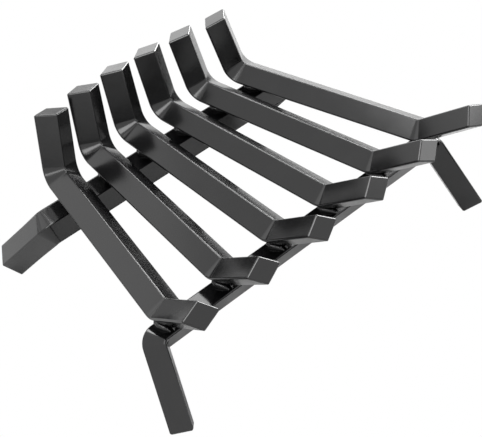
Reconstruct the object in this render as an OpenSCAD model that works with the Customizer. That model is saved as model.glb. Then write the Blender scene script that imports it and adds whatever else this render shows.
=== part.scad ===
// Log grate for an open fireplace, bent from solid diamond-section bar.
// Six log bars fan out from the rear to the front. Each one turns up in front
// to hold the logs and stands up steeply at the rear.
// They rest on two leg bars, which are turned so that one face lies almost level,
// and a weld bead on each side holds every crossing.
// X runs along the leg bars, Y from front to rear and Z up.
// The origin is on the hearth, under the middle of the grate.

/* [Bar stock] */
// Width of the bar's section, from side corner to side corner
bar_w = 44; // [34:1:56]
// Height of the bar's section, from bottom corner to top corner
bar_h = 31; // [24:1:38]
// Radius of the rounded edges along each bar
edge_r = 2; // [0.5:0.25:4]

/* [Log bars] */
// Length of the level run, from bend corner to bend corner
run_len = 250; // [225:1:320]
// Distance of the front bend corner ahead of the front leg bar's axis
run_ahead = 1; // [0:0.5:8]
// Spacing of the log bars over the front leg bar
front_pitch = 81.5; // [60:0.5:120]
// Spacing of the log bars over the rear leg bar
rear_pitch = 59.5; // [56:0.5:100]
// Length of the front upturn, from the bend corner to the tip
front_tip_len = 82; // [40:1:140]
// Rise of the front upturn above level, in degrees
front_rise = 38; // [20:1:60]
// Length of the rear upright, from the bend corner to the tip
rear_tip_len = 77; // [45:1:160]
// Rise of the rear upright above level, in degrees
rear_rise = 71; // [50:1:85]
// Radius inside each bend of a log bar
log_bend_r = 3; // [1:0.25:12]
// Turn of the two outer log bars towards the middle, in degrees
outer_turn = 6; // [0:0.5:8]

/* [Leg bars] */
// Distance between the axes of the front and the rear leg bar
leg_bar_gap = 210; // [190:1:215]
// Distance of the front leg bar's bend corners from the middle
front_half = 222.5; // [215:0.5:300]
// Distance of the rear leg bar's bend corners from the middle
rear_half = 188; // [165:0.5:260]
// Length of each leg, from the bend corner to the foot
leg_len = 96.5; // [60:0.5:160]
// Spread of each leg outwards, in degrees
leg_spread = 11.3; // [0:0.1:20]
// Tilt of each leg bar's upper face, its outer edge up, in degrees
leg_tilt = 2; // [0:0.25:4]
// Depth of a bend's centre inside the leg bar's inner corner
leg_bend_in = 9.5; // [2:0.25:10]

/* [Weld beads] */
// Radius of a bead's thick end
bead_r = 6; // [4:0.25:7]
// Radius of a bead's thin end
bead_end_r = 2.25; // [2:0.25:4]
// Length of a bead between the middles of its ends
bead_len = 15; // [6:0.5:18]
// Distance of a front bead's thick end from the log bar's lowest edge
bead_out = 8.5; // [7:0.25:11]
// Distance of a rear bead's thick end from the log bar's lowest edge
rear_bead_out = 10.5; // [8:0.25:11]
// Slant of a bead from its thick end inwards under the log bar, in degrees
bead_slant = 22; // [0:1:40]
// Height of a bead's middle above the leg bar's upper face
bead_up = 1.5; // [0.5:0.25:2]
// Distance of a bead's thick end from the face's rear edge
bead_inset = 6; // [3:0.25:9]

/* [Hidden] */
$fn = 48;

// Number of log bars, and the place of the middle among them
log_bars = 6;
middle = (log_bars + 1) / 2;

// Half the angle of the section's side corners
lean = atan(bar_h / bar_w);
// Turn of a leg bar about its own length. The lean alone would bring its face level
leg_lean = lean + leg_tilt;
// Distances from the bar's axis to the middles of its rounded edges
side_reach = bar_w / 2 - edge_r / sin(lean);
top_reach = bar_h / 2 - edge_r / cos(lean);

// Bend radii along the middles of the bars. A leg bar is folded on a sharp inside
// corner and rounded outside, about a centre that lies inside the bar
log_r = bar_h / 2 + log_bend_r;
leg_r = bar_h / 2 - leg_bend_in;
// How far the straight lengths lap into a bend, how far the bend's section is drawn
// in from theirs, and what the bend leaves open round its centre for the laps to fill
lap = 0.5;
bend_inset = 0.05;
centre_gap = lap;

// Turn of a leg from the line of its leg bar
leg_turn = 90 - leg_spread;
// Height of the leg bars' axes, which sets the feet's lower corners on the hearth
leg_z = leg_len * sin(leg_turn) * cos(leg_lean) + side_reach * sin(leg_lean);
// Height above a leg bar's axis of its outer edge, on which the log bars rest
rest_up = side_reach * sin(leg_lean) + edge_r;
// Distances from a leg bar's axis to its upper face, and along it to its outer and
// inner edge
face_up = side_reach * sin(lean) + edge_r;
face_out = bar_w / 2 * cos(lean);
face_in = bar_h / 2 * sin(lean);

// Heading of a middle log bar, and how far the grate reaches along it
mid_heading = atan2((front_pitch - rear_pitch) / 2, leg_bar_gap);
tip_reach = top_reach + edge_r;
front_reach = run_ahead + front_tip_len * cos(front_rise) + tip_reach * sin(front_rise);
rear_reach = run_len - run_ahead + rear_tip_len * cos(rear_rise) + tip_reach * sin(rear_rise);
// Place of the front leg bar's axis, with the grate's depth centred on the origin
front_y = (front_reach - rear_reach) / 2 * cos(mid_heading);

// Steps round each rounded corner of the section, and round each end of a bead
corner_steps = 4;
bead_steps = 3;
// Angle at which a bead narrows towards its thin end
bead_taper = asin((bead_r - bead_end_r) / bead_len);

// What a cut runs past the shape that it cuts
overrun = bar_w;

// Places and turns of log bar n
function front_x(n) = (n - middle) * front_pitch;
function rear_x(n) = (n - middle) * rear_pitch;
function heading(n) = atan2(front_x(n) - rear_x(n), leg_bar_gap);
function turn(n) = outer_turn * (middle - n) / (middle - 1);
function log_up(n) = top_reach * cos(turn(n)) + edge_r;
// How far its lowest edge stands aside from its axis
function aside(n) = -top_reach * sin(turn(n));

// Points of a rounded corner with its middle at x and y, which faces an angle
function corner(x, y, r, facing, half) = [
    for (step = [0:corner_steps])
        let (angle = facing + half * (2 * step / corner_steps - 1))
        [x + r * cos(angle), y + r * sin(angle)]
];

// Section of the bar, a diamond with rounded corners, drawn in by inset
module section(inset = 0) {
    r = edge_r - inset;
    polygon(concat(
        corner(side_reach, 0, r, 0, 90 - lean),
        corner(0, top_reach, r, 90, lean),
        corner(-side_reach, 0, r, 180, 90 - lean),
        corner(0, -top_reach, r, 270, lean)
    ));
}

// Straight length of bar along Y
module straight(len) {
    rotate([-90, 0, 0]) linear_extrude(len) section();
}

// Distance from a bend's corner to where the bend starts
function bend_start(angle, r) = r * tan(angle / 2);

// Bend that turns bar coming along Y upwards from the origin, and the length after it
module bent_end(angle, len, r) {
    translate([0, 0, r]) rotate([0, 90, 0]) rotate_extrude(angle = angle)
        intersection() {
            translate([r, 0]) rotate(90) section(bend_inset);
            translate([centre_gap, -overrun]) square([r + overrun, 2 * overrun]);
        }
    translate([0, 0, r]) rotate([angle, 0, 0]) translate([0, -lap, -r])
        straight(lap + len - bend_start(angle, r));
}

// Bar with a run along Y from the origin and both ends turned up
module bent_bar(run, front_angle, front_len, rear_angle, rear_len, r) {
    front_start = bend_start(front_angle, r);
    rear_start = run - bend_start(rear_angle, r);
    translate([0, front_start - lap, 0]) straight(rear_start - front_start + 2 * lap);
    translate([0, rear_start, 0]) bent_end(rear_angle, rear_len, r);
    translate([0, front_start, 0]) mirror([0, 1, 0]) bent_end(front_angle, front_len, r);
}

// Log bar n, counted from the left
module log_bar(n) {
    translate([front_x(n), front_y, leg_z + rest_up + log_up(n)])
        rotate([0, 0, heading(n)])
        translate([0, -run_ahead, 0])
        rotate([0, turn(n), 0])
        bent_bar(run_len, front_rise, front_tip_len, rear_rise, rear_tip_len, log_r);
}

// Leg bar that leans forwards, with its run's middle at the origin
module leg_bar(half) {
    difference() {
        rotate([180 - leg_lean, 0, 0]) rotate([0, 0, -90]) translate([0, -half, 0])
            bent_bar(2 * half, leg_turn, leg_len, leg_turn, leg_len, leg_r);
        // the feet's lowest edges are ground level with the hearth
        translate([-half - leg_len, -leg_len - overrun, -leg_z - overrun])
            cube([2 * (half + leg_len), leg_len + 2 * overrun, overrun]);
    }
}

module front_bar() {
    translate([0, front_y, leg_z]) leg_bar(front_half);
}

module rear_bar() {
    translate([0, front_y + leg_bar_gap, leg_z]) mirror([0, 1, 0]) leg_bar(rear_half);
}

// Points round one end of a bead's outline, from one angle to another
function bead_arc(y, r, from, to) = [
    for (step = [0:bead_steps])
        let (angle = from + (to - from) * step / bead_steps)
        [r * cos(angle), y + r * sin(angle)]
];

// Weld bead that tapers forwards from the middle of its thick end at the origin
module bead() {
    rotate([-90, 0, 0]) rotate_extrude()
        polygon(concat(
            bead_arc(-bead_len, bead_end_r, -90, -bead_taper),
            bead_arc(0, bead_r, -bead_taper, 90)
        ));
}

// Beads on both sides of log bar n, where it crosses a leg bar at x and y, between
// the leg bar's upper face and the log bar's lower faces. tilt turns level to that
// face, rear_edge is the distance along it from the axis to its rear edge, and out
// that of a bead's thick end from the log bar's lowest edge
module bead_pair(n, x, y, tilt, rear_edge, out) {
    difference() {
        translate([x, y, leg_z]) rotate([tilt, 0, 0]) translate([0, 0, face_up]) difference() {
            rotate([0, 0, heading(n)])
                for (side = [-1, 1])
                    translate([aside(n) + side * out, rear_edge - bead_inset, bead_up])
                        rotate([0, 0, -side * bead_slant]) bead();
            translate([-overrun, -overrun, -overrun]) cube([2 * overrun, 2 * overrun, overrun]);
        }
        translate([x, y, leg_z + rest_up + log_up(n)]) rotate([0, 0, heading(n)])
            rotate([0, turn(n), 0]) translate([0, -overrun, 0]) rotate([-90, 0, 0])
            linear_extrude(2 * overrun)
            polygon([[bar_w / 2, 0], [0, bar_h / 2], [-bar_w / 2, 0], [0, -bar_h / 2]]);
    }
}

module front_weld(n) {
    color("#2a2a2c") bead_pair(n, front_x(n), front_y, -leg_tilt, face_in, bead_out);
}

module rear_weld(n) {
    color("#2a2a2c")
        bead_pair(n, rear_x(n), front_y + leg_bar_gap, leg_tilt, face_out, rear_bead_out);
}

module log_bar_1() { color("#1d1d1f") log_bar(1); }
module log_bar_2() { color("#1d1d1f") log_bar(2); }
module log_bar_3() { color("#1d1d1f") log_bar(3); }
module log_bar_4() { color("#1d1d1f") log_bar(4); }
module log_bar_5() { color("#1d1d1f") log_bar(5); }
module log_bar_6() { color("#1d1d1f") log_bar(6); }
module front_leg_bar() { color("#19191b") front_bar(); }
module rear_leg_bar() { color("#19191b") rear_bar(); }

log_bar_1();
log_bar_2();
log_bar_3();
log_bar_4();
log_bar_5();
log_bar_6();
front_leg_bar();
rear_leg_bar();
front_weld(1);  // front_weld_1
front_weld(2);  // front_weld_2
front_weld(3);  // front_weld_3
front_weld(4);  // front_weld_4
front_weld(5);  // front_weld_5
front_weld(6);  // front_weld_6
rear_weld(1);  // rear_weld_1
rear_weld(2);  // rear_weld_2
rear_weld(3);  // rear_weld_3
rear_weld(4);  // rear_weld_4
rear_weld(5);  // rear_weld_5
rear_weld(6);  // rear_weld_6
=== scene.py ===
"""Looks of a log grate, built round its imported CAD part.

Six log bars and two leg bars of solid diamond section, and the weld beads that
join them, all painted black. Everything is in metres, in the part's own frame:
X along the leg bars, Y from front to rear and Z up, with the hearth at zero.
"""

import logging
import math
from dataclasses import dataclass, field
from enum import Enum
from typing import Any

import bmesh
import bpy
from mathutils import Matrix, Vector

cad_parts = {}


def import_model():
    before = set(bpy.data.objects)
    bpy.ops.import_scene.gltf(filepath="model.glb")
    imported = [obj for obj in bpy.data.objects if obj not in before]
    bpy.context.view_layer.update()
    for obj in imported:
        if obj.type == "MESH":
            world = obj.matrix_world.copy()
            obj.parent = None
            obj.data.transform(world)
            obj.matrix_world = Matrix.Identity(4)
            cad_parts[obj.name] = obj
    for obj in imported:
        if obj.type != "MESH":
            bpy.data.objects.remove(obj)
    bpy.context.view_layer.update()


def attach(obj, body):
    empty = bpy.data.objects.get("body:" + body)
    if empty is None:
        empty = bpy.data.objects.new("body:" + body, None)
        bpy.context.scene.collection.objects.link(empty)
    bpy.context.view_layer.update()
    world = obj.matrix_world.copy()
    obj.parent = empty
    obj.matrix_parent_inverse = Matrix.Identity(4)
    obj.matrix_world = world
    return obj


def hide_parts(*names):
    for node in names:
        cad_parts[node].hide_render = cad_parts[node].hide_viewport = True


LOG = logging.getLogger("log grate")
MM = 0.001
WHITE = (1.0, 1.0, 1.0, 1.0)


def add_node(
    tree: bpy.types.NodeTree,
    kind: str,
    inputs: dict[str | int, Any] | None = None,
    **settings: Any,
) -> bpy.types.Node:
    """Adds a node with its settings, values and incoming links.

    Args:
        tree: Shader or geometry node tree that gets the node.
        kind: The node's type.
        inputs: For each input socket, by name or number, its value or the socket linked to it.
        **settings: The node's own properties.

    Returns:
        The new node.
    """
    node = tree.nodes.new(kind)
    for name, value in settings.items():
        setattr(node, name, value)
    for key, value in (inputs or {}).items():
        if isinstance(value, bpy.types.NodeSocket):
            tree.links.new(value, node.inputs[key])
        else:
            node.inputs[key].default_value = value
    return node


def linear(hex_colour: str) -> tuple[float, float, float, float]:
    """Turns an sRGB hex colour into Blender's linear one.

    Args:
        hex_colour: Colour such as "#1d1d1f".

    Returns:
        Linear red, green, blue and an alpha of one.
    """
    parts = [int(hex_colour[i : i + 2], 16) / 255 for i in (1, 3, 5)]
    red, green, blue = (p / 12.92 if p <= 0.04045 else ((p + 0.055) / 1.055) ** 2.4 for p in parts)
    return red, green, blue, 1.0


@dataclass(frozen=True)
class Pattern:
    """Unevenness of a finish.

    Width is that of its patches, detail the number of finer layers in them and
    breakup how strongly each layer shows.
    """

    width: float
    detail: float
    breakup: float


@dataclass(frozen=True)
class StovePaint:
    """Heat-resistant semi-gloss black, sprayed and baked on hot-rolled steel.

    The eye sees a smooth, nearly black skin that mirrors bright surroundings
    softly at a slant. Orange peel breaks the reflections up a little, and the
    gloss drifts where the spray went on thicker.
    """

    name: str
    colour: str = "#0d0d0e"
    gloss_rough: float = 0.13
    matt_rough: float = 0.19
    ior: float = 1.6
    peel: Pattern = Pattern(2.6 * MM, 2.0, 0.45)
    peel_depth: float = 0.001 * MM
    # rolled grain under the paint, finer than the peel
    grain: Pattern = Pattern(0.9 * MM, 3.0, 0.6)
    grain_depth: float = 0.0002 * MM
    drift: Pattern = Pattern(38 * MM, 3.0, 0.55)
    # heights of the drift's noise at which the finish is glossiest and most matt
    glossiest: float = 0.3
    most_matt: float = 0.7

    def build(self) -> bpy.types.Material:
        """Builds the material.

        Returns:
            The material, with its patterns in real sizes on Object coordinates.
        """
        material = bpy.data.materials.new(self.name)
        material.use_nodes = True
        tree = material.node_tree
        tree.nodes.clear()
        place = add_node(tree, "ShaderNodeTexCoord").outputs["Object"]
        peel, grain, drift = (
            add_node(
                tree,
                "ShaderNodeTexNoise",
                {
                    "Vector": place,
                    "Scale": 1 / pattern.width,
                    "Detail": pattern.detail,
                    "Roughness": pattern.breakup,
                },
            ).outputs["Fac"]
            for pattern in (self.peel, self.grain, self.drift)
        )
        gloss = add_node(
            tree,
            "ShaderNodeMapRange",
            {
                "Value": drift,
                "From Min": self.glossiest,
                "From Max": self.most_matt,
                "To Min": self.gloss_rough,
                "To Max": self.matt_rough,
            },
        )
        rolled = add_node(
            tree,
            "ShaderNodeBump",
            {"Strength": 1.0, "Distance": self.grain_depth, "Height": grain},
        )
        skin = add_node(
            tree,
            "ShaderNodeBump",
            {
                "Strength": 1.0,
                "Distance": self.peel_depth,
                "Height": peel,
                "Normal": rolled.outputs["Normal"],
            },
        )
        shader = add_node(
            tree,
            "ShaderNodeBsdfPrincipled",
            {
                "Base Color": linear(self.colour),
                "Roughness": gloss.outputs["Result"],
                "IOR": self.ior,
                "Normal": skin.outputs["Normal"],
            },
        )
        add_node(tree, "ShaderNodeOutputMaterial", {"Surface": shader.outputs["BSDF"]})
        return material


@dataclass(frozen=True)
class EndBevel:
    """Bevel round a bar's sawn ends, in steps from its cap to its sides."""

    # narrower than the edge radius, or the caps crease at their corners
    width: float = 1.8 * MM
    steps: int = 4
    # flatter than a quarter circle, which is 0.5
    profile: float = 0.32
    # only edges that turn by more than this get the bevel
    least_turn: float = math.radians(60)

    def cut(self, piece: bpy.types.Object) -> None:
        """Bevels the ends of a piece.

        Args:
            piece: The piece, which gets the bevel as a live modifier.
        """
        rounder = piece.modifiers.new("ends", "BEVEL")
        rounder.width = self.width
        rounder.segments = self.steps
        rounder.profile = self.profile
        rounder.limit_method = "ANGLE"
        rounder.angle_limit = self.least_turn
        rounder.use_clamp_overlap = False


def settle(piece: bpy.types.Object) -> bpy.types.Mesh:
    """Turns a piece and its modifiers into a plain mesh, and uses the piece up.

    Args:
        piece: The piece, which is linked to the scene.

    Returns:
        The evaluated mesh.
    """
    source = piece.data
    ready = piece.evaluated_get(bpy.context.evaluated_depsgraph_get())
    mesh = bpy.data.meshes.new_from_object(ready)
    piece.modifiers.clear()
    bpy.data.objects.remove(piece)
    bpy.data.meshes.remove(source)
    return mesh


def shade_flats_flat(mesh: bpy.types.Mesh, wide_faces: int = 50) -> bpy.types.Mesh:
    """Shades a bar's faces flat and its rounded edges and bends smooth.

    Args:
        mesh: The bar's mesh, which is used up.
        wide_faces: How much more wide faces count than narrow ones, 50 for as their areas.

    Returns:
        A mesh whose corners lean on their widest faces for their shading.
    """
    carrier = bpy.data.objects.new("shading", mesh)
    bpy.context.scene.collection.objects.link(carrier)
    weigher = carrier.modifiers.new("flat faces", "WEIGHTED_NORMAL")
    weigher.mode = "FACE_AREA"
    weigher.weight = wide_faces
    return settle(carrier)


def put(name: str, mesh: bpy.types.Mesh, node: str) -> None:
    """Puts a finished piece on the grate in place of its CAD node.

    Args:
        name: Name of the piece.
        mesh: Its mesh, in place.
        node: CAD node that it stands for.
    """
    mesh.name = name
    piece = bpy.data.objects.new(name, mesh)
    bpy.context.scene.collection.objects.link(piece)
    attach(piece, "root")
    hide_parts(node)
    LOG.info("%s: %d faces, in place of %s", name, len(mesh.polygons), node)


class Socket(Enum):
    """Kinds of input that a shape tree takes."""

    LENGTH = "NodeSocketFloat"
    COUNT = "NodeSocketInt"
    PAINT = "NodeSocketMaterial"


class ShapeTree:
    """Geometry node tree that makes one kind of piece from named inputs."""

    def __init__(self, name: str, sockets: dict[str, Socket]) -> None:
        """Starts the tree with a path in, a mesh out and the given inputs.

        Args:
            name: The tree's name.
            sockets: Kind of each named input.
        """
        self.tree = bpy.data.node_groups.new(name, "GeometryNodeTree")
        face = self.tree.interface
        face.new_socket("Path", in_out="INPUT", socket_type="NodeSocketGeometry")
        for label, kind in sockets.items():
            face.new_socket(label, in_out="INPUT", socket_type=kind.value)
        face.new_socket("Mesh", in_out="OUTPUT", socket_type="NodeSocketGeometry")
        self.given = self.node("NodeGroupInput").outputs

    def node(
        self, kind: str, inputs: dict[str | int, Any] | None = None, **settings: Any
    ) -> bpy.types.Node:
        """Adds a node to the tree, as add_node does."""
        return add_node(self.tree, kind, inputs, **settings)

    def end(self, geometry: bpy.types.NodeSocket) -> None:
        """Ends the tree in plain painted mesh.

        Args:
            geometry: Socket with the finished shape.
        """
        plain = self.node("GeometryNodeRealizeInstances", {"Geometry": geometry})
        smooth = self.node("GeometryNodeSetShadeSmooth", {"Geometry": plain.outputs[0]})
        painted = self.node(
            "GeometryNodeSetMaterial",
            {"Geometry": smooth.outputs[0], "Material": self.given["Paint"]},
        )
        self.node("NodeGroupOutput", {"Mesh": painted.outputs[0]})

    def make(
        self,
        path: list[Vector],
        joined: list[tuple[int, int]],
        values: dict[str, Any],
        bevel: EndBevel | None = None,
    ) -> bpy.types.Mesh:
        """Runs the tree on a path of straight lines.

        Args:
            path: Points of the path.
            joined: Pairs of points that a line joins.
            values: Value of each named input.
            bevel: Bevel round the ends, if they get one.

        Returns:
            The shape as a plain mesh.
        """
        line = bpy.data.meshes.new("path")
        line.from_pydata(path, joined, [])
        carrier = bpy.data.objects.new("path", line)
        bpy.context.scene.collection.objects.link(carrier)
        shaper = carrier.modifiers.new("shape", "NODES")
        shaper.node_group = self.tree
        for item in self.tree.interface.items_tree:
            if item.name in values:
                shaper[item.identifier] = values[item.name]
        if bevel:
            bevel.cut(carrier)
        return settle(carrier)


@dataclass(frozen=True)
class Stock:
    """Diamond bar that the whole grate is bent from."""

    width: float = 44 * MM
    height: float = 31 * MM
    edge_radius: float = 2 * MM
    edge_steps: int = 8

    @property
    def lean(self) -> float:
        """Half the angle of a side corner."""
        return math.atan2(self.height, self.width)

    @property
    def top_reach(self) -> float:
        """Distance from the axis to the middle of the rounded top edge."""
        return self.height / 2 - self.edge_radius / math.cos(self.lean)

    @property
    def side_reach(self) -> float:
        """Distance from the axis to the middle of a rounded side edge."""
        return self.width / 2 - self.edge_radius / math.sin(self.lean)

    @property
    def face_up(self) -> float:
        """Distance from the axis to a face."""
        return self.side_reach * math.sin(self.lean) + self.edge_radius

    @property
    def face_out(self) -> float:
        """Distance along a face from beside the axis to the face's side corner."""
        return self.width / 2 * math.cos(self.lean)

    @property
    def face_in(self) -> float:
        """Distance along a face from beside the axis to its top or bottom corner."""
        return self.height / 2 * math.sin(self.lean)


@dataclass
class BarBender:
    """Sweeps the stock's section along a path with rounded corners."""

    stock: Stock
    bend_steps: int = 14
    ends: EndBevel = EndBevel()
    shape: ShapeTree = field(init=False)

    def __post_init__(self) -> None:
        """Builds the tree: path, rounded corners, diamond section, capped ends."""
        sizes = ("Section width", "Section height", "Edge radius", "Bend radius")
        sockets = {size: Socket.LENGTH for size in sizes}
        sockets |= {"Edge steps": Socket.COUNT, "Bend steps": Socket.COUNT, "Paint": Socket.PAINT}
        self.shape = shape = ShapeTree("bent diamond bar", sockets)
        given = shape.given
        path = shape.node("GeometryNodeMeshToCurve", {"Mesh": given["Path"]})
        bent = shape.node(
            "GeometryNodeFilletCurve",
            {
                "Curve": path.outputs[0],
                "Count": given["Bend steps"],
                "Radius": given["Bend radius"],
            },
            mode="POLY",
        )
        upright = shape.node(
            "GeometryNodeSetCurveNormal", {"Curve": bent.outputs[0]}, mode="Z_UP"
        )
        half = shape.node(
            "ShaderNodeMath", {0: given["Section height"], 1: 2.0}, operation="DIVIDE"
        )
        diamond = shape.node(
            "GeometryNodeCurvePrimitiveQuadrilateral",
            {
                "Width": given["Section width"],
                "Bottom Height": half.outputs[0],
                "Top Height": half.outputs[0],
            },
            mode="KITE",
        )
        section = shape.node(
            "GeometryNodeFilletCurve",
            {
                "Curve": diamond.outputs[0],
                "Count": given["Edge steps"],
                "Radius": given["Edge radius"],
            },
            mode="POLY",
        )
        bar = shape.node(
            "GeometryNodeCurveToMesh",
            {
                "Curve": upright.outputs[0],
                "Profile Curve": section.outputs[0],
                "Fill Caps": True,
            },
        )
        shape.end(bar.outputs[0])

    def bend(
        self, path: list[Vector], radius: float, paint: bpy.types.Material
    ) -> bpy.types.Mesh:
        """Bends one bar.

        Args:
            path: Tip, first bend corner, second bend corner and other tip, in the YZ plane.
            radius: Bend radius along the bar's middle.
            paint: The bar's finish.

        Returns:
            The bar's mesh, in the path's own frame.
        """
        values = {
            "Section width": self.stock.width,
            "Section height": self.stock.height,
            "Edge radius": self.stock.edge_radius,
            "Bend radius": radius,
            "Edge steps": self.stock.edge_steps,
            "Bend steps": self.bend_steps,
            "Paint": paint,
        }
        joined = [(i, i + 1) for i in range(len(path) - 1)]
        return self.shape.make(path, joined, values, self.ends)


@dataclass
class LogBars:
    """Six bars that hold the logs, fanned out from the rear to the front."""

    stock: Stock
    count: int = 6
    run: float = 250 * MM
    # how far the front bend lies ahead of the front leg bar's axis
    run_ahead: float = 1 * MM
    front_pitch: float = 81.5 * MM
    rear_pitch: float = 59.5 * MM
    leg_bar_gap: float = 210 * MM
    front_tip: float = 82 * MM
    front_rise: float = math.radians(38)
    rear_tip: float = 77 * MM
    rear_rise: float = math.radians(71)
    # radius inside a bend, a little softer than the CAD part's
    inner_bend: float = 6 * MM
    outer_turn: float = math.radians(6)

    @property
    def front_y(self) -> float:
        """Place of the front leg bar's axis, with the grate's depth centred."""
        tip = self.stock.top_reach + self.stock.edge_radius
        front_tip = self.front_tip * math.cos(self.front_rise) + tip * math.sin(self.front_rise)
        rear_tip = self.rear_tip * math.cos(self.rear_rise) + tip * math.sin(self.rear_rise)
        front = self.run_ahead + front_tip
        rear = self.run - self.run_ahead + rear_tip
        middle_heading = math.atan2((self.front_pitch - self.rear_pitch) / 2, self.leg_bar_gap)
        return (front - rear) / 2 * math.cos(middle_heading)

    @property
    def rear_y(self) -> float:
        """Place of the rear leg bar's axis."""
        return self.front_y + self.leg_bar_gap

    def from_middle(self, n: int) -> float:
        """Bar n's place counted from the middle of the row."""
        return n - (self.count + 1) / 2

    def front_x(self, n: int) -> float:
        """Where bar n crosses the front leg bar."""
        return self.from_middle(n) * self.front_pitch

    def rear_x(self, n: int) -> float:
        """Where bar n crosses the rear leg bar."""
        return self.from_middle(n) * self.rear_pitch

    def heading(self, n: int) -> float:
        """Bar n's direction, as a turn about the upright."""
        return math.atan2(self.front_x(n) - self.rear_x(n), self.leg_bar_gap)

    def turn(self, n: int) -> float:
        """Bar n's turn about its own length, so that outer bars face inwards."""
        return self.outer_turn * self.from_middle(n) / self.from_middle(1)

    def aside(self, n: int) -> float:
        """How far bar n's lowest edge stands aside from its axis."""
        return -self.stock.top_reach * math.sin(self.turn(n))

    def path(self) -> list[Vector]:
        """Lays out a bar in its own frame, with its front bend at the origin.

        Returns:
            Front tip, front bend, rear bend and rear tip.
        """
        forwards = Vector((0, -math.cos(self.front_rise), math.sin(self.front_rise)))
        backwards = Vector((0, math.cos(self.rear_rise), math.sin(self.rear_rise)))
        rear_bend = Vector((0, self.run, 0))
        return [
            forwards * self.front_tip,
            Vector(),
            rear_bend,
            rear_bend + backwards * self.rear_tip,
        ]

    def place(self, n: int, rest_height: float) -> Matrix:
        """Works out where bar n's own frame stands on the grate.

        Args:
            n: The bar's number, counted from the left.
            rest_height: Height of the edges that the log bars rest on.

        Returns:
            The matrix from the bar's frame to the grate's.
        """
        up = self.stock.top_reach * math.cos(self.turn(n)) + self.stock.edge_radius
        return (
            Matrix.Translation((self.front_x(n), self.front_y, rest_height + up))
            @ Matrix.Rotation(self.heading(n), 4, "Z")
            @ Matrix.Translation((0, -self.run_ahead, 0))
            @ Matrix.Rotation(self.turn(n), 4, "Y")
        )

    def build(self, bender: BarBender, paint: bpy.types.Material, rest_height: float) -> None:
        """Builds and dresses the six bars.

        Args:
            bender: What bends the stock.
            paint: The bars' finish.
            rest_height: Height of the edges that the log bars rest on.
        """
        radius = self.stock.height / 2 + self.inner_bend
        for n in range(1, self.count + 1):
            mesh = bender.bend(self.path(), radius, paint)
            mesh.transform(self.place(n, rest_height))
            put(f"painted_log_bar_{n}", shade_flats_flat(mesh), f"log_bar_{n}")


class Side(Enum):
    """The two sides of the grate that have a leg bar."""

    FRONT = "front"
    REAR = "rear"


@dataclass
class LegBar:
    """One bar bent into a U, turned until one of its faces lies almost level."""

    side: Side
    half: float
    axis_y: float
    stock: Stock
    leg: float = 96.5 * MM
    spread: float = math.radians(11.3)
    tilt: float = math.radians(2)
    # depth of a bend's centre inside the bar's inner corner
    bend_in: float = 9.5 * MM

    @property
    def facing(self) -> float:
        """Turn about the upright, so that the legs lean away from the grate's middle."""
        return 0.0 if self.side is Side.FRONT else math.pi

    @property
    def lean(self) -> float:
        """Turn of the bar about its own length."""
        return self.stock.lean + self.tilt

    @property
    def leg_turn(self) -> float:
        """Turn of a leg from the line of its bar."""
        return math.pi / 2 - self.spread

    @property
    def axis_height(self) -> float:
        """Height of the bar's axis, with the feet's lower corners on the hearth."""
        foot = self.leg * math.sin(self.leg_turn) * math.cos(self.lean)
        return foot + self.stock.side_reach * math.sin(self.lean)

    @property
    def rest_height(self) -> float:
        """Height of the bar's outer edge, on which the log bars rest."""
        edge_up = self.stock.side_reach * math.sin(self.lean)
        return self.axis_height + edge_up + self.stock.edge_radius

    def path(self) -> list[Vector]:
        """Lays out the bar in its own frame, with its middle at the origin.

        Returns:
            Left foot, left bend, right bend and right foot.
        """
        out, up = math.cos(self.leg_turn) * self.leg, math.sin(self.leg_turn) * self.leg
        left, right = Vector((0, -self.half, 0)), Vector((0, self.half, 0))
        return [left + Vector((0, -out, up)), left, right, right + Vector((0, out, up))]

    def place(self) -> Matrix:
        """Works out where the bar's own frame stands on the grate.

        Returns:
            The matrix from the bar's frame to the grate's.
        """
        return (
            Matrix.Translation((0, self.axis_y, self.axis_height))
            @ Matrix.Rotation(self.facing, 4, "Z")
            @ Matrix.Rotation(math.pi - self.lean, 4, "X")
            @ Matrix.Rotation(-math.pi / 2, 4, "Z")
        )

    def build(self, bender: BarBender, paint: bpy.types.Material) -> None:
        """Builds and dresses the bar.

        Args:
            bender: What bends the stock.
            paint: The bar's finish.
        """
        mesh = bender.bend(self.path(), self.stock.height / 2 - self.bend_in, paint)
        mesh.transform(self.place())
        self.grind(mesh)
        name = f"{self.side.value}_leg_bar"
        put(f"painted_{name}", shade_flats_flat(mesh), name)

    @staticmethod
    def grind(mesh: bpy.types.Mesh) -> None:
        """Grinds the feet level with the hearth.

        Args:
            mesh: The bar's mesh, in place, which is changed.
        """
        work = bmesh.new()
        work.from_mesh(mesh)
        cut = bmesh.ops.bisect_plane(
            work,
            geom=work.verts[:] + work.edges[:] + work.faces[:],
            plane_co=(0, 0, 0),
            plane_no=(0, 0, -1),
            clear_outer=True,
        )
        rim = [e for e in cut["geom_cut"] if isinstance(e, bmesh.types.BMEdge)]
        bmesh.ops.holes_fill(work, edges=rim)
        work.to_mesh(mesh)
        work.free()


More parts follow.
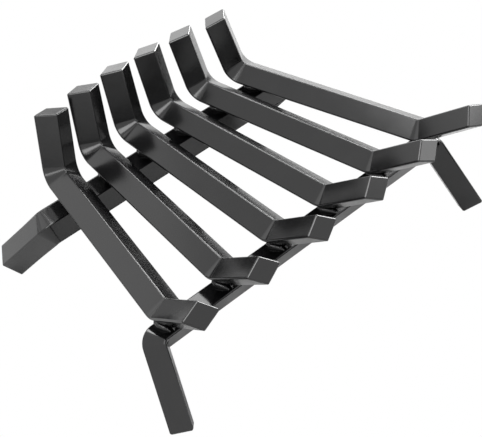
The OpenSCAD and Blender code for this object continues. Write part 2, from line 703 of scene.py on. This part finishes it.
@dataclass
class WeldBeads:
    """Beads along both sides of each crossing, laid from the rear forwards."""

    bars: LogBars
    # radii of a bead at its ends, and the length between them
    thick: float = 6 * MM
    thin: float = 2.4 * MM
    length: float = 15 * MM
    # place of a thick end from the log bar's lowest edge, and up and in on the face
    front_out: float = 8.5 * MM
    rear_out: float = 10.5 * MM
    up: float = 1.5 * MM
    inset: float = 6 * MM
    slant: float = math.radians(22)
    # one puddle of metal to a ripple, some ripples deep so that they run together
    ripple: float = 1.5 * MM
    puddle_ripples: float = 2.6
    puddle_lean: float = math.radians(32)
    puddle_segments: int = 20
    puddle_rings: int = 10
    # uneven puddles are this much of an even one
    least_share: float = 0.93
    most_share: float = 1.04
    # share of a bead's length between its middle and where it starts to round off,
    # and share of its radius that its very ends keep
    dome_share: float = 0.22
    end_share: float = 0.5
    shape: ShapeTree = field(init=False)

    def __post_init__(self) -> None:
        """Builds the tree: one leaning puddle of metal for each ripple of a bead."""
        sizes = ("Thick end", "Thin end", "Ripple pitch", "Puddle lean")
        sockets = {size: Socket.LENGTH for size in sizes}
        sockets |= {"Seed": Socket.COUNT, "Paint": Socket.PAINT}
        self.shape = shape = ShapeTree("weld beads", sockets)
        given = shape.given
        path = shape.node("GeometryNodeMeshToCurve", {"Mesh": given["Path"]})
        ripples = shape.node(
            "GeometryNodeResampleCurve",
            {"Curve": path.outputs[0], "Length": given["Ripple pitch"]},
            mode="LENGTH",
        )
        puddle = shape.node(
            "GeometryNodeMeshUVSphere",
            {"Segments": self.puddle_segments, "Rings": self.puddle_rings, "Radius": 1.0},
        )
        laid = shape.node(
            "GeometryNodeInstanceOnPoints",
            {
                "Points": ripples.outputs[0],
                "Instance": puddle.outputs["Mesh"],
                "Rotation": self.lean_puddles(),
                "Scale": self.size_puddles(),
            },
        )
        shape.end(laid.outputs[0])

    def size_puddles(self) -> bpy.types.NodeSocket:
        """Tapers the puddles along a bead, domes its ends and makes them uneven.

        Returns:
            Socket with each puddle's size, twice across the bead and then along it.
        """
        shape, given = self.shape, self.shape.given
        middle = 0.5
        along = shape.node("GeometryNodeSplineParameter").outputs["Factor"]
        taper = shape.node(
            "ShaderNodeMapRange",
            {"Value": along, "To Min": given["Thick end"], "To Max": given["Thin end"]},
        )
        ahead = shape.node("ShaderNodeMath", {0: along, 1: middle}, operation="SUBTRACT")
        off_middle = shape.node("ShaderNodeMath", {0: ahead.outputs[0]}, operation="ABSOLUTE")
        dome = shape.node(
            "ShaderNodeMapRange",
            {
                "Value": off_middle.outputs[0],
                "From Min": self.dome_share,
                "From Max": middle,
                "To Min": 1.0,
                "To Max": self.end_share,
            },
            interpolation_type="SMOOTHSTEP",
        )
        uneven = shape.node(
            "FunctionNodeRandomValue",
            {"Min": self.least_share, "Max": self.most_share, "Seed": given["Seed"]},
            data_type="FLOAT",
        )
        even = shape.node(
            "ShaderNodeMath", {0: taper.outputs[0], 1: dome.outputs[0]}, operation="MULTIPLY"
        )
        across = shape.node(
            "ShaderNodeMath",
            {0: even.outputs[0], 1: uneven.outputs["Value"]},
            operation="MULTIPLY",
        )
        deep = shape.node(
            "ShaderNodeMath",
            {0: given["Ripple pitch"], 1: self.puddle_ripples},
            operation="MULTIPLY",
        )
        size = shape.node(
            "ShaderNodeCombineXYZ",
            {"X": across.outputs[0], "Y": across.outputs[0], "Z": deep.outputs[0]},
        )
        return size.outputs[0]

    def lean_puddles(self) -> bpy.types.NodeSocket:
        """Stands the puddles across a bead and leans them, as the torch leaves them.

        Returns:
            Socket with each puddle's rotation.
        """
        shape = self.shape
        forwards = shape.node("GeometryNodeInputTangent")
        facing = shape.node(
            "FunctionNodeAlignRotationToVector", {"Vector": forwards.outputs[0]}, axis="Z"
        )
        lean = shape.node(
            "FunctionNodeAxisAngleToRotation",
            {"Axis": (1, 0, 0), "Angle": shape.given["Puddle lean"]},
        )
        leaning = shape.node(
            "FunctionNodeRotateRotation",
            {"Rotation": facing.outputs[0], "Rotate By": lean.outputs[0]},
            rotation_space="LOCAL",
        )
        return leaning.outputs[0]

    def path(self, rear_edge: float, out: float) -> list[Vector]:
        """Lays out the two beads of a crossing on a level face.

        Args:
            rear_edge: Distance along the face from the leg bar's axis to its rear edge.
            out: Distance of the thick ends from the log bar's lowest edge.

        Returns:
            Thick and thin end of the left bead, then of the right one, with the log
            bar's lowest edge at the origin.
        """
        points = []
        for hand in (-1, 1):
            thick_end = Vector((hand * out, rear_edge - self.inset, self.up))
            inwards = Vector((-hand * math.sin(self.slant), -math.cos(self.slant), 0))
            points += [thick_end, thick_end + inwards * self.length]
        return points

    def build(self, leg_bar: LegBar, paint: bpy.types.Material) -> None:
        """Lays the beads of the six crossings on one leg bar.

        Args:
            leg_bar: The leg bar.
            paint: The beads' finish.
        """
        values = {
            "Thick end": self.thick,
            "Thin end": self.thin,
            "Ripple pitch": self.ripple,
            "Puddle lean": self.puddle_lean,
            "Paint": paint,
        }
        both = [(0, 1), (2, 3)]
        stock, side = leg_bar.stock, leg_bar.side.value
        if leg_bar.side is Side.FRONT:
            cross_x, tilt = self.bars.front_x, -leg_bar.tilt
            path = self.path(stock.face_in, self.front_out)
        else:
            cross_x, tilt = self.bars.rear_x, leg_bar.tilt
            path = self.path(stock.face_out, self.rear_out)
        for n in range(1, self.bars.count + 1):
            values["Seed"] = n
            crossing = (
                Matrix.Translation((cross_x(n), leg_bar.axis_y, leg_bar.axis_height))
                @ Matrix.Rotation(tilt, 4, "X")
                @ Matrix.Translation((0, 0, stock.face_up))
                @ Matrix.Rotation(self.bars.heading(n), 4, "Z")
                @ Matrix.Translation((self.bars.aside(n), 0, 0))
            )
            mesh = self.shape.make([crossing @ point for point in path], both, values)
            put(f"{side}_weld_beads_{n}", mesh, f"{side}_weld_{n}")


@dataclass
class Grate:
    """The whole grate, from its leg bars up."""

    stock: Stock = Stock()
    front_half: float = 222.5 * MM
    rear_half: float = 188 * MM

    def build(self) -> None:
        """Builds every sub-assembly in place."""
        bar_paint = StovePaint("semi-gloss black stove paint on rolled bar").build()
        # over the smooth weld metal the paint is a little glossier and its peel finer
        weld_paint = StovePaint(
            "semi-gloss black stove paint on weld metal",
            gloss_rough=0.12,
            matt_rough=0.17,
            peel=Pattern(1.8 * MM, 2.0, 0.45),
        ).build()
        bars = LogBars(self.stock)
        front = LegBar(Side.FRONT, self.front_half, bars.front_y, self.stock)
        rear = LegBar(Side.REAR, self.rear_half, bars.rear_y, self.stock)
        bender = BarBender(self.stock)
        bars.build(bender, bar_paint, front.rest_height)
        front.build(bender, bar_paint)
        rear.build(bender, bar_paint)
        beads = WeldBeads(bars)
        beads.build(front, weld_paint)
        beads.build(rear, weld_paint)


@dataclass(frozen=True)
class Softbox:
    """Rectangular lamp that faces the grate.

    Azimuth turns from +X towards +Y and elevation upwards, both in degrees.
    Strength is the brightness of the lamp's face, one for white.
    """

    name: str
    azimuth: float
    elevation: float
    width: float
    height: float
    strength: float
    distance: float = 1.6
    aim: tuple[float, float, float] = (0.0, 0.0, 0.1)

    def build(self) -> None:
        """Hangs the lamp."""
        lamp = bpy.data.lights.new(self.name, "AREA")
        lamp.shape = "RECTANGLE"
        lamp.size, lamp.size_y = self.width, self.height
        lamp.energy = self.strength * math.pi * self.width * self.height
        turn, rise = math.radians(self.azimuth), math.radians(self.elevation)
        away = Vector(
            (math.cos(rise) * math.cos(turn), math.cos(rise) * math.sin(turn), math.sin(rise))
        )
        stand = bpy.data.objects.new(self.name, lamp)
        stand.matrix_world = (
            Matrix.Translation(Vector(self.aim) + away * self.distance)
            @ away.to_track_quat("Z", "Y").to_matrix().to_4x4()
        )
        bpy.context.scene.collection.objects.link(stand)


@dataclass
class Studio:
    """White floor and surroundings, soft lamps and the camera."""

    floor_size: float = 8.0
    paper: str = "#f2f2f2"
    paper_rough: float = 0.9
    sky: float = 0.15
    # lens and sensor are in millimetres
    lens: float = 98.83
    sensor: float = 36.0
    camera_at: tuple[float, float, float] = (-0.8041, -0.8163, 1.0777)
    # turn to the right of +Y, angle below the level and roll, all in degrees
    camera_heading: float = 44.96
    camera_dip: float = 42.11
    camera_roll: float = -0.83
    # name, azimuth, elevation, width, height and strength of each lamp
    softboxes: tuple[Softbox, ...] = (
        Softbox("back softbox", 60.0, 12.0, 1.4, 0.5, 1.6),
        Softbox("right strip light", 13.0, 14.0, 0.9, 0.25, 16.0),
        Softbox("front strip light", -36.0, 16.0, 0.6, 0.4, 2.2),
        Softbox("ridge softbox", 43.0, 48.0, 0.8, 0.3, 4.5),
        Softbox("ridge glint strip", 37.0, 27.0, 0.5, 0.2, 14.0),
        Softbox("overhead softbox", 195.0, 75.0, 0.8, 0.6, 5.5),
        Softbox("back overhead softbox", 97.0, 60.0, 0.4, 0.4, 9.0),
        Softbox("left softbox", 197.0, 43.0, 0.6, 0.8, 4.4),
        Softbox("back left softbox", 108.0, 30.0, 1.2, 0.7, 0.5),
    )

    def build(self) -> None:
        """Sets up floor, world, lamps, camera and the view transform."""
        self.lay_floor()
        self.light_sky()
        for softbox in self.softboxes:
            softbox.build()
        self.point_camera()
        bpy.context.scene.view_settings.view_transform = "Standard"

    def lay_floor(self) -> None:
        """Lays a matt white floor, which the camera sees as plain white."""
        half = self.floor_size / 2
        corners = [(-half, -half, 0), (half, -half, 0), (half, half, 0), (-half, half, 0)]
        mesh = bpy.data.meshes.new("studio_floor")
        mesh.from_pydata(corners, [], [(0, 1, 2, 3)])
        material = bpy.data.materials.new("matt white studio paper")
        material.use_nodes = True
        tree = material.node_tree
        tree.nodes.clear()
        paper = add_node(
            tree,
            "ShaderNodeBsdfPrincipled",
            {"Base Color": linear(self.paper), "Roughness": self.paper_rough},
        )
        white = add_node(tree, "ShaderNodeEmission", {"Color": WHITE, "Strength": 1.0})
        ray = add_node(tree, "ShaderNodeLightPath")
        mix = add_node(
            tree,
            "ShaderNodeMixShader",
            {0: ray.outputs["Is Camera Ray"], 1: paper.outputs[0], 2: white.outputs[0]},
        )
        add_node(tree, "ShaderNodeOutputMaterial", {"Surface": mix.outputs[0]})
        mesh.materials.append(material)
        floor = bpy.data.objects.new("studio_floor", mesh)
        bpy.context.scene.collection.objects.link(floor)

    def light_sky(self) -> None:
        """Fills the studio with even light, white where it is seen or mirrored."""
        world = bpy.data.worlds.new("white studio")
        world.use_nodes = True
        tree = world.node_tree
        tree.nodes.clear()
        even = add_node(tree, "ShaderNodeBackground", {"Color": WHITE, "Strength": self.sky})
        white = add_node(tree, "ShaderNodeBackground", {"Color": WHITE, "Strength": 1.0})
        ray = add_node(tree, "ShaderNodeLightPath")
        seen = add_node(
            tree,
            "ShaderNodeMath",
            {0: ray.outputs["Is Camera Ray"], 1: ray.outputs["Is Glossy Ray"]},
            operation="MAXIMUM",
        )
        mix = add_node(
            tree,
            "ShaderNodeMixShader",
            {0: seen.outputs[0], 1: even.outputs[0], 2: white.outputs[0]},
        )
        add_node(tree, "ShaderNodeOutputWorld", {"Surface": mix.outputs[0]})
        bpy.context.scene.world = world

    def point_camera(self) -> None:
        """Stands the camera where the photographer stood."""
        camera = bpy.data.cameras.new("camera")
        camera.lens = self.lens
        camera.sensor_width = self.sensor
        stand = bpy.data.objects.new("camera", camera)
        stand.matrix_world = (
            Matrix.Translation(self.camera_at)
            @ Matrix.Rotation(-math.radians(self.camera_heading), 4, "Z")
            @ Matrix.Rotation(math.pi / 2 - math.radians(self.camera_dip), 4, "X")
            @ Matrix.Rotation(math.radians(self.camera_roll), 4, "Z")
        )
        bpy.context.scene.collection.objects.link(stand)
        bpy.context.scene.camera = stand


def main() -> None:
    """Loads the frame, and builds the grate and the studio."""
    logging.basicConfig(level=logging.INFO, format="%(message)s")
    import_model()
    Grate().build()
    Studio().build()


if __name__ == "__main__":
    main()
